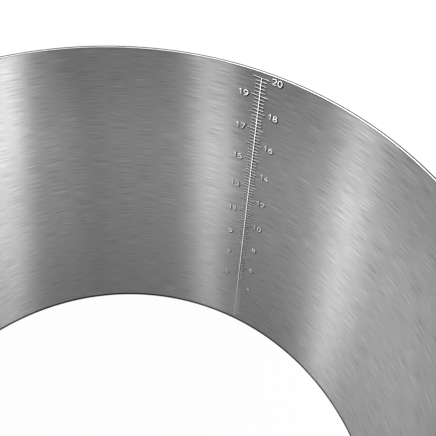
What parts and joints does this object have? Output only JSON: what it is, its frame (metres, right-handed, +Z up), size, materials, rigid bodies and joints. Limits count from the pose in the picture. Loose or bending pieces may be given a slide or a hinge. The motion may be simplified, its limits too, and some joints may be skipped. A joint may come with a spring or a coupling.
{
  "type": "cake ring",
  "caption": "Tall adjustable ring of brushed sheet steel for layered cakes, with a height scale on its inner wall and a riveted closing rail with a cam lever outside.",
  "frame": {"origin": "middle of the footprint, on the plane that the ring stands on", "axes": "+Z up along the ring's own axis, -Y towards the closing rail with its lever, +X to the right seen from the rail"},
  "size_m": [0.2826, 0.2998, 0.2045],
  "materials": {
    "band_steel": "stainless sheet brushed lengthwise, satin",
    "pressed_steel": "pressed stainless sheet, satin with rounded bends",
    "pin_steel": "turned stainless steel, smooth"
  },
  "bodies": {
    "ring": {"band": "band_steel", "clamp_rail": "pressed_steel", "lever_pin": "pin_steel", "rail_rivet_1": "pin_steel", "rail_rivet_2": "pin_steel", "rail_rivet_3": "pin_steel", "rail_rivet_4": "pin_steel", "rail_rivet_5": "pin_steel", "rail_rivet_6": "pin_steel"},
    "lever": {"cam_lever": "pressed_steel"},
    "shoe": {"clamp_shoe": "pin_steel"}
  },
  "joints": [
    {"name": "lever_swing", "type": "hinge", "parent": "ring", "child": "lever", "pos_m": [0, -0.14243, 0.189], "axis": [-1, 0, 0], "range_deg": [0, 110]},
    {"name": "shoe_travel", "type": "slide", "parent": "ring", "child": "shoe", "axis": [0, -1, 0], "range_m": [0, 0.00091]}
  ],
  "couplings": [
    {"joint": "shoe_travel", "follows": "lever_swing", "m_per_rad": 0.00046878}
  ]
}
